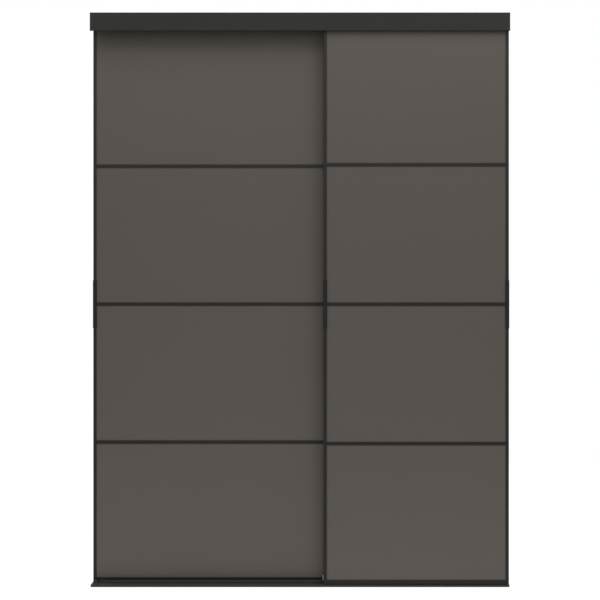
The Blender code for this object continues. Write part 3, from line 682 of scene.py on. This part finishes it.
def build_door_frame(door):
    for side, _ in SIDES:
        extruded_piece(f"{door}_stile_{side}", Z, FRAME_RADIUS)
        extruded_piece(f"{door}_grip_{side}", Z, GRIP_RADIUS, "shell")
    for place in ("top", "bottom"):
        extruded_piece(f"{door}_{place}_member", X, FRAME_RADIUS)
    for place in ("lower", "middle", "upper"):
        extruded_piece(f"{door}_divider_{place}", X, 0.3 * MM)


def build_door_panels(door):
    for number in range(1, 5):
        node = f"{door}_panel_{number}"
        shape = new_shape()
        add_rounded_box(shape, *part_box(node), PANEL_RADIUS)
        stand_in(node, shape, "board")


def build_door_screws(door):
    """Low screw heads on the stiles' outer faces, level with the top and bottom members."""
    for side, sign in SIDES:
        low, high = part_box(f"{door}_stile_{side}")
        face = low[X] if sign > 0 else high[X]
        places = []
        for member in ("bottom", "top"):
            member_low, member_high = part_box(f"{door}_{member}_member")
            middle = (member_low[Z] + member_high[Z]) / 2
            places += [(face, low[Y] + depth, middle) for depth in (7.5 * MM, 21 * MM)]
        name, outward = f"{door}_screws_{side}", (-sign, 0, 0)
        screws(name, SMALL_HEAD, places, outward, door, "door_frame", BLACK_SCREW)


def build_brushes(door, side, reach):
    """A dust brush on the back of a stile: a thin backing strip and its pile."""
    low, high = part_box(f"{door}_stile_{side}")
    middle = (low[X] + high[X]) / 2
    _, guide_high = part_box(f"{door}_guide_{side}")
    bottom, top = guide_high[Z] + 6 * MM, high[Z] - 25 * MM
    backing = new_shape()
    add_rounded_box(
        backing,
        (middle - 3.4 * MM, high[Y] + 0.1 * MM, bottom),
        (middle + 3.4 * MM, high[Y] + 1.0 * MM, top),
        0.25 * MM,
        2,
    )
    finish_piece(f"{door}_brush_backing_{side}", backing, FINISHES["grip"], door, "grip")
    tufts = new_shape()
    root, tip = high[Y] + 0.9 * MM, high[Y] + reach
    outline = [
        (Vector((middle - 2.2 * MM, root)), False),
        (Vector((middle + 2.2 * MM, root)), False),
        (Vector((middle + 2.5 * MM, root + 0.6 * (tip - root))), False),
        (Vector((middle + 1.9 * MM, tip - 0.4 * MM)), True),
        (Vector((middle + 0.5 * MM, tip)), True),
        (Vector((middle - 0.7 * MM, tip)), True),
        (Vector((middle - 2.0 * MM, tip - 0.4 * MM)), False),
        (Vector((middle - 2.5 * MM, root + 0.6 * (tip - root))), False),
    ]
    add_extrusion(tufts, outline, Z, bottom + 2 * MM, top - 2 * MM)
    finish_piece(f"{door}_brush_pile_{side}", tufts, PILE, door, "grip", sharp_angle=60.0)


def build_guide(door, side, sign):
    """The guide's plate and fin with rounded corners, joined to a softly rounded buffer."""
    node = f"{door}_guide_{side}"
    low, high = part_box(node)
    stile_low, stile_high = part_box(f"{door}_stile_{side}")
    edge = stile_low[X] if sign > 0 else stile_high[X]
    far = high[X] if sign > 0 else low[X]
    length = abs(far - edge)
    plate_front = stile_high[Y] + 0.3 * MM
    buffer_bottom = 22.5 * MM
    corners = [
        (-1 * MM, buffer_bottom + 1 * MM),
        (4 * MM, buffer_bottom + 1 * MM),
        (4 * MM, low[Z] + 5 * MM),
        (9 * MM, low[Z]),
        (length - 5 * MM, low[Z]),
        (length, low[Z] + 5 * MM),
        (length, high[Z] - 7 * MM),
        (length - 6 * MM, high[Z] - 1 * MM),
        (-1 * MM, high[Z] - 1 * MM),
    ]
    outline = [Vector((z, edge + sign * u)) for u, z in corners]
    if area_of(outline) < 0:
        outline.reverse()
    plate = new_shape()
    add_extrusion(plate, filleted(outline, 1.6 * MM, 4), Y, plate_front, high[Y])
    round_sharp_edges(plate, 0.35 * MM, 2, 60.0)
    buffer = new_shape()
    outer, inner = sorted((low[X] if sign > 0 else high[X], edge - sign * 0.3 * MM))
    add_rounded_box(
        buffer,
        (outer, low[Y], buffer_bottom),
        (inner, high[Y] - 0.75 * MM, high[Z]),
        min(0.45 * (inner - outer), 1.6 * MM),
        4,
    )
    joined = combined(mesh_of(plate), mesh_of(buffer), "UNION")
    stand_in(node, shape_of(joined), "moulding")
    middle = edge + sign * 0.5 * length
    places = [(middle + offset, high[Y], high[Z] - 13 * MM) for offset in (-17 * MM, 17 * MM)]
    screws(f"{node}_screws", SMALL_HEAD, places, (0, 1, 0), door, "steel", STEEL)


def build_hanger(door, side):
    """The pressed hanger with rounded edges, and the four screws in its foot."""
    node = f"{door}_hanger_{side}"
    stand_in(node, softened_copy(node, 0.3 * MM), "bracket")
    low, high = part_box(node)
    middle = (low + high) / 2
    foot_top = low[Z] + 2.5 * MM
    places = [
        (middle[X] + dx, middle[Y] + dy, foot_top)
        for dx in (-9.5 * MM, 9.5 * MM)
        for dy in (-6.5 * MM, 6.5 * MM)
    ]
    screws(f"{node}_screws", FLAT_HEAD, places, (0, 0, 1), door, "steel", STEEL)


def build_wheels(door, side):
    """Two nylon wheels with a raised bearing ring, on a headed steel axle."""
    node = f"{door}_wheels_{side}"
    low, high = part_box(node)
    centre = (low + high) / 2
    radius = (high[Z] - low[Z]) / 2
    half = (high[Y] - low[Y]) / 2
    wheel_inner, wheel_outer = 3.4 * MM, 10.4 * MM
    tyres = new_shape()
    section = [
        (wheel_inner + 0.3 * MM, 2.6 * MM),
        (wheel_inner + 0.3 * MM, 4.6 * MM),
        (wheel_inner + 1.2 * MM, 5.2 * MM),
        (wheel_inner + 1.2 * MM, radius - 2.2 * MM),
        (wheel_inner + 0.3 * MM, radius - 1.6 * MM),
        (wheel_inner, radius - 1.0 * MM),
        (wheel_inner + 0.25 * MM, radius - 0.3 * MM),
        (wheel_inner + 0.9 * MM, radius),
        (wheel_outer - 0.9 * MM, radius),
        (wheel_outer - 0.25 * MM, radius - 0.3 * MM),
        (wheel_outer, radius - 1.0 * MM),
        (wheel_outer - 0.3 * MM, radius - 1.6 * MM),
        (wheel_outer - 1.4 * MM, radius - 2.2 * MM),
        (wheel_outer - 1.4 * MM, 5.2 * MM),
        (wheel_outer - 0.3 * MM, 4.6 * MM),
        (wheel_outer - 0.3 * MM, 2.6 * MM),
    ]
    for direction in ((0, 1, 0), (0, -1, 0)):
        turned(tyres, section, centre, direction, 40, ring_shaped=True)
    stand_in(node, tyres, "tyres", sharp_angle=50.0)
    axle = new_shape()
    half_section = [
        (half, 0.0),
        (half, 2.2 * MM),
        (half - 0.35 * MM, 3.0 * MM),
        (half - 0.8 * MM, 3.4 * MM),
        (wheel_outer + 0.4 * MM, 3.4 * MM),
        (wheel_outer + 0.4 * MM, 2.58 * MM),
        (3.5 * MM, 2.58 * MM),
        (3.4 * MM, 3.6 * MM),
        (2.1 * MM, 3.6 * MM),
        (2.0 * MM, 2.0 * MM),
    ]
    section = [(-along, r) for along, r in half_section] + half_section[::-1]
    turned(axle, section, centre, (0, 1, 0))
    finish_piece(f"{node}_axle", axle, STEEL, BODY_OF[node], "steel", sharp_angle=40.0)


for door in DOORS:
    build_door_frame(door)
    build_door_panels(door)
    build_door_screws(door)
    for side, sign in SIDES:
        build_guide(door, side, sign)
        build_hanger(door, side)
        build_wheels(door, side)
build_brushes("front_door", "left", 12.5 * MM)
build_brushes("rear_door", "left", 6.0 * MM)
build_brushes("rear_door", "right", 6.0 * MM)


# ---------------------------------------------------------------- carcass


BOARD_RADIUS = 0.6 * MM
HOLE_RADIUS = 2.5 * MM
HOLE_DEPTH = 9 * MM
HOLE_PITCH = 32 * MM
HOLES_PER_GROUP = 5
PEG_INSET = 37 * MM
NAIL_INSET = 9 * MM
NAIL_PITCH = 0.15
CAM_INSET = 34 * MM
CAM_ROWS = (60 * MM, 300 * MM)


def rounded_board(node):
    """A board with rounded edges, its narrow faces marked as edge band."""
    low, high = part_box(node)
    shape = new_shape()
    add_rounded_box(shape, low, high, BOARD_RADIUS)
    size = high - low
    thin = min((X, Y, Z), key=lambda axis: size[axis])
    faces = [face for face in shape.faces if abs(face.normal[thin]) < 0.9]
    mark(shape, faces, "band")
    return shape


def drill(shape, holes):
    """Cut blind holes given as (mouth, direction into the board)."""
    tools = new_shape()
    for mouth, direction in holes:
        direction = Vector(direction)
        section = [
            (-1 * MM, 0.0),
            (-1 * MM, HOLE_RADIUS),
            (HOLE_DEPTH, HOLE_RADIUS),
            (HOLE_DEPTH + 1 * MM, 0.0),
        ]
        turned(tools, section, mouth, direction, 16)
    return shape_of(combined(mesh_of(shape), mesh_of(tools)))


def peg_rows(face, direction, shelf):
    """The peg under each end of a shelf, and a group of holes above and below it."""
    low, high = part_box(shelf)
    pegs, holes = [], []
    for y in (low[Y] + PEG_INSET, high[Y] - PEG_INSET):
        middle = low[Z] - HOLE_RADIUS - 0.2 * MM
        pegs.append(((face, y, middle), direction))
        for step in range(HOLES_PER_GROUP):
            from_peg = step - HOLES_PER_GROUP // 2
            z = middle + from_peg * HOLE_PITCH
            if from_peg and not low[Z] - 4 * MM < z < high[Z] + 4 * MM:
                holes.append(((face, y, z), direction))
    return pegs, holes


def add_peg(shape, mouth, direction):
    """A turned shelf peg: a pin in the board, a collar, and a rounded post under the shelf."""
    section = [
        (7 * MM, 0.0),
        (7 * MM, 2.0 * MM),
        (6.4 * MM, 2.4 * MM),
        (0.0, 2.4 * MM),
        (0.0, 4.4 * MM),
        (-0.5 * MM, 4.8 * MM),
        (-1.0 * MM, 4.4 * MM),
        (-1.0 * MM, 2.5 * MM),
        (-8.2 * MM, 2.5 * MM),
        (-8.8 * MM, 2.1 * MM),
        (-9.0 * MM, 0.0),
    ]
    turned(shape, section, mouth, direction, 20)


def build_boards():
    """The boards, with peg holes in the upright ones and a peg under each end of a shelf."""
    narrow = [f"shelf_{number}" for number in range(1, 5)]
    for node in ("top_panel", "bottom_panel", "plinth", "hat_shelf", *narrow):
        stand_in(node, rounded_board(node), "board")
    left_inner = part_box("side_left")[1][X]
    right_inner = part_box("side_right")[0][X]
    partition_left, partition_right = (corner[X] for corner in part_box("partition"))
    into_left, into_right = (-1, 0, 0), (1, 0, 0)
    drilled = {
        "side_left": [(left_inner, into_left, ["hat_shelf"])],
        "side_right": [(right_inner, into_right, narrow)],
        "partition": [
            (partition_left, into_right, ["hat_shelf"]),
            (partition_right, into_left, narrow),
        ],
    }
    for node, rows in drilled.items():
        pegs, holes = [], []
        for face, direction, shelves in rows:
            for shelf in shelves:
                more_pegs, more_holes = peg_rows(face, direction, shelf)
                pegs += more_pegs
                holes += more_holes
        stand_in(node, drill(rounded_board(node), holes), "board")
        shape = new_shape()
        for mouth, direction in pegs:
            add_peg(shape, mouth, direction)
        finish_piece(f"{node}_shelf_pegs", shape, STEEL, CARCASS, "steel", sharp_angle=40.0)


def evenly(start, end, pitch):
    """Positions from start to end, no further apart than the pitch."""
    count = max(1, math.ceil((end - start) / pitch))
    return [start + (end - start) * step / count for step in range(count + 1)]


def build_backs():
    """The two back boards, and the nails round their edges."""
    for side in ("left", "right"):
        node = f"back_{side}"
        low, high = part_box(node)
        shape = new_shape()
        add_rounded_box(shape, low, high, 0.4 * MM, 2)
        shape.normal_update()
        mark(shape, [face for face in shape.faces if face.normal[Y] < -0.9], "band")
        stand_in(node, shape, "board")
        rows_z = evenly(low[Z] + NAIL_INSET, high[Z] - NAIL_INSET, NAIL_PITCH)
        rows_x = evenly(low[X] + NAIL_INSET, high[X] - NAIL_INSET, NAIL_PITCH)
        places = [(x, high[Y], z) for z in rows_z for x in (rows_x[0], rows_x[-1])]
        places += [(x, high[Y], z) for x in rows_x[1:-1] for z in (rows_z[0], rows_z[-1])]
        screws(f"{node}_nails", NAIL_HEAD, places, (0, 1, 0), CARCASS, "steel", STEEL)


def build_cam_covers():
    """Round covers over the cam locks in the top board."""
    shape = new_shape()
    low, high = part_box("top_panel")
    partition = sum(corner[X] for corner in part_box("partition")) / 2
    section = [
        (0.9 * MM, 0.0),
        (0.9 * MM, 6.8 * MM),
        (0.55 * MM, 7.7 * MM),
        (0.0, 8.0 * MM),
        (0.0, 0.0),
    ]
    boards = ((low[X], 1), (partition, -1), (partition, 1), (high[X], -1))
    for board, inward in boards:
        for row in CAM_ROWS:
            place = (board + inward * CAM_INSET, high[Y] - row, high[Z])
            turned(shape, section, place, (0, 0, 1))
    name = "top_panel_cam_covers"
    finish_piece(name, shape, CAM_COVER, CARCASS, "carcass_board", sharp_angle=40.0)


build_boards()
build_backs()
build_cam_covers()


# ---------------------------------------------------------------- clothes rail


HALF_OVAL_STEPS = 24
TUBE_WALL = 1.5 * MM
TUBE_LIP = 0.3 * MM
SOCKET_PLATE = 3 * MM


def oval_points(centre, half_width, half_height):
    """An upright oval in Y and Z: two half circles joined by straight sides."""
    reach = half_height - half_width
    points = []
    for lift, first in ((reach, 0.0), (-reach, math.pi)):
        for step in range(HALF_OVAL_STEPS + 1):
            angle = first + math.pi * step / HALF_OVAL_STEPS
            y = centre[Y] + half_width * math.cos(angle)
            points.append((y, centre[Z] + lift + half_width * math.sin(angle)))
    return points


def build_clothes_rail():
    """An oval tube with rounded rims, open at both ends, and the two cups that hold it."""
    low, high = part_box("clothes_rail")
    centre = (low + high) / 2
    half_width, half_height = (high[Y] - low[Y]) / 2, (high[Z] - low[Z]) / 2
    wall, lip = TUBE_WALL, TUBE_LIP
    loops = [
        (low[X], lip), (low[X] + lip, 0.0), (high[X] - lip, 0.0), (high[X], lip),
        (high[X], wall - lip), (high[X] - lip, wall), (low[X] + lip, wall), (low[X], wall - lip),
    ]
    shape = new_shape()
    rings = []
    for x, inset in loops:
        points = oval_points(centre, half_width - inset, half_height - inset)
        rings.append([shape.verts.new((x, y, z)) for y, z in points])
    for first, second in zip(rings, rings[1:] + rings[:1]):
        for index in range(len(first)):
            after = (index + 1) % len(first)
            shape.faces.new((first[index], second[index], second[after], first[after]))
    stand_in("clothes_rail", shape, "tube")
    for side, sign in SIDES:
        node = f"rail_socket_{side}"
        stand_in(node, softened_copy(node, 0.35 * MM), "cup")
        low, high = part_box(node)
        middle = (low[Y] + high[Y]) / 2
        face = low[X] + SOCKET_PLATE if sign > 0 else high[X] - SOCKET_PLATE
        places = [(face, middle, low[Z] + 4.6 * MM)]
        screws(f"{node}_screw", SMALL_HEAD, places, (sign, 0, 0), CARCASS, "steel", STEEL)


build_clothes_rail()


# ---------------------------------------------------------------- rails


RAIL_RADIUS = 0.35 * MM
LAND_TOP = 9.4 * MM
# How far the floor rail's front land is painted lighter: a painted highlight where light from above
# falls.
LAND_PAINTED_LIGHT = 0.42
TOP_SCREW_PITCH = 0.30
FASCIA_SCREW_PITCH = 0.45
FLOOR_SCREW_PITCH = 0.42


def build_rails():
    """The rails and end caps. The floor rail's ridge and front land are marked as band, which
    paints them lighter: a painted highlight.
    """
    extruded_piece("top_rail", X, RAIL_RADIUS)
    extruded_piece("fascia", X, RAIL_RADIUS)
    rail = softened_copy("bottom_rail", RAIL_RADIUS)
    ridge_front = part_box("rail_clip")[0][Y]
    for face in rail.faces:
        middle = face.calc_center_median()
        # Painted highlight: the ridge's front face is painted fully lighter and the front land
        # partly lighter, through the band mark.
        if abs(middle[Y] - ridge_front) < 0.8 * MM and middle[Z] > LAND_TOP + 0.1 * MM:
            mark(rail, [face], "band")
        elif middle[Y] < ridge_front - 10 * MM and middle[Z] > LAND_TOP - 0.1 * MM:
            mark(rail, [face], "band", LAND_PAINTED_LIGHT)
    stand_in("bottom_rail", rail, "profile")
    extruded_piece("rail_clip", Y, 0.5 * MM, "moulding", CLIP_PLASTIC)
    for side, _ in SIDES:
        stand_in(f"rail_end_{side}", softened_copy(f"rail_end_{side}", 1.1 * MM, 3), "cap")


def build_rail_screws():
    """Screws in the top rail's foot, the fascia's flange, the end caps and the bottom rail."""
    up = (0, 0, 1)
    low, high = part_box("top_rail")
    foot_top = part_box("top_panel")[1][Z] + 2.8 * MM
    ends = (low[X] + 60 * MM, high[X] - 60 * MM)
    places = [(x, high[Y] - 18 * MM, foot_top) for x in evenly(*ends, TOP_SCREW_PITCH)]
    screws("top_rail_screws", PAN_HEAD, places, up, CARCASS, "steel", STEEL)

    low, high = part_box("fascia")
    places = [(x, low[Y] + 30 * MM, high[Z]) for x in evenly(*ends, FASCIA_SCREW_PITCH)]
    screws("fascia_screws", FLAT_HEAD, places, up, CARCASS, "rail_metal", BLACK_SCREW)

    for side, sign in SIDES:
        low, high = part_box(f"rail_end_{side}")
        face = low[X] if sign > 0 else high[X]
        middle = (low[Z] + high[Z]) / 2
        places = [(face, y, middle) for y in (low[Y] + 19 * MM, high[Y] - 19 * MM)]
        name, outward = f"rail_end_screws_{side}", (-sign, 0, 0)
        screws(name, FLAT_HEAD, places, outward, CARCASS, "rail_metal", BLACK_SCREW)

    low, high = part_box("bottom_rail")
    land = (low[Y] + 52.7 * MM, LAND_TOP)
    ends = (low[X] + 55 * MM, high[X] - 55 * MM)
    places = [(x, *land) for x in evenly(*ends, FLOOR_SCREW_PITCH)]
    screws("bottom_rail_screws", FLAT_HEAD, places, up, CARCASS, "rail_metal", BLACK_SCREW)


build_rails()
build_rail_screws()


# ---------------------------------------------------------------- camera, light and floor


SENSOR_WIDTH_MM = 36.0
LENS_MM = 57.48
EYE = (0.0, -4.335, 1.2016)
LOOKING_LEVEL = (math.radians(90), 0.0, 0.0)
CLIP_END = 60.0
WHITE = (1.0, 1.0, 1.0, 1.0)
BACKDROP_STRENGTH = 1.0
ROOM_STRENGTH = 0.3
FLOOR_RADIUS = 3.0
FLOOR_GLOW = 1.0
FLOOR_TONES = (0.04, 0.06)

# Each softbox: its place, what it faces, its width and length, and its power in watts
MIDDLE = (0.0, -0.3, 1.2)
SOFTBOXES = {
    "top_softbox_near": ((0.0, -1.0, 4.4), MIDDLE, (4.0, 0.8), 16.5),
    "top_softbox_middle": ((0.0, -1.6, 4.6), MIDDLE, (4.0, 1.5), 27.5),
    "top_softbox_far": ((0.0, -2.3, 4.6), MIDDLE, (4.0, 1.2), 29.5),
    "left_softbox": ((-3.0, -3.0, 3.6), MIDDLE, (1.5, 2.0), 13.0),
    "right_softbox": ((3.0, -3.0, 3.6), MIDDLE, (1.5, 2.0), 26.0),
    "front_softbox": ((0.0, -5.2, 2.2), MIDDLE, (4.0, 2.0), 14.0),
    "side_softbox_left": ((-4.5, 1.0, 2.8), (-0.8, 0.1, 1.2), (2.0, 2.5), 60.0),
    "side_softbox_right": ((4.5, 1.0, 2.8), (0.8, 0.1, 1.2), (2.0, 2.5), 60.0),
    "rear_softbox": ((0.0, 4.5, 3.2), (0.0, 0.3, 1.2), (3.0, 2.0), 90.0),
}


def add_camera():
    data = bpy.data.cameras.new("camera")
    data.sensor_width = SENSOR_WIDTH_MM
    data.lens = LENS_MM
    data.clip_end = CLIP_END
    camera = bpy.data.objects.new("camera", data)
    SCENE.collection.objects.link(camera)
    camera.location = EYE
    camera.rotation_euler = LOOKING_LEVEL
    SCENE.camera = camera


def add_world():
    """A white backdrop for the camera, and a dimmer room round the object."""
    world = bpy.data.worlds.new("studio")
    world.use_nodes = True
    tree = world.node_tree
    backdrop = tree.nodes["Background"]
    room = tree.nodes.new("ShaderNodeBackground")
    for node, strength in ((backdrop, BACKDROP_STRENGTH), (room, ROOM_STRENGTH)):
        node.inputs["Color"].default_value = WHITE
        node.inputs["Strength"].default_value = strength
    seen = tree.nodes.new("ShaderNodeLightPath").outputs["Is Camera Ray"]
    choice = tree.nodes.new("ShaderNodeMixShader")
    tree.links.new(seen, choice.inputs[0])
    tree.links.new(room.outputs[0], choice.inputs[1])
    tree.links.new(backdrop.outputs[0], choice.inputs[2])
    tree.links.new(choice.outputs[0], tree.nodes["World Output"].inputs["Surface"])
    SCENE.world = world
    SCENE.view_settings.view_transform = "Standard"


def add_softbox(name, location, target, size, power):
    light = bpy.data.lights.new(name, "AREA")
    light.shape = "RECTANGLE"
    light.size, light.size_y = size
    light.energy = power
    obj = bpy.data.objects.new(name, light)
    SCENE.collection.objects.link(obj)
    obj.location = location
    towards = Vector(target) - obj.location
    obj.rotation_euler = towards.to_track_quat("-Z", "Y").to_euler()


def add_floor():
    """A round floor that glows as white as the backdrop, so that no shadow shows on it."""
    shape = bmesh.new()
    bmesh.ops.create_circle(shape, cap_ends=True, segments=96, radius=FLOOR_RADIUS)
    mesh = bpy.data.meshes.new("floor")
    shape.to_mesh(mesh)
    shape.free()
    floor = bpy.data.objects.new("floor", mesh)
    SCENE.collection.objects.link(floor)
    finish = Finish("floor_paint", Specular_IOR_Level=0.2)
    finish.shader.inputs["Emission Color"].default_value = WHITE
    finish.shader.inputs["Emission Strength"].default_value = FLOOR_GLOW
    mesh.materials.append(finish.done(finish.range(finish.noise(0.8), *FLOOR_TONES), 0.7))


add_camera()
add_world()
for softbox, settings in SOFTBOXES.items():
    add_softbox(softbox, *settings)
add_floor()
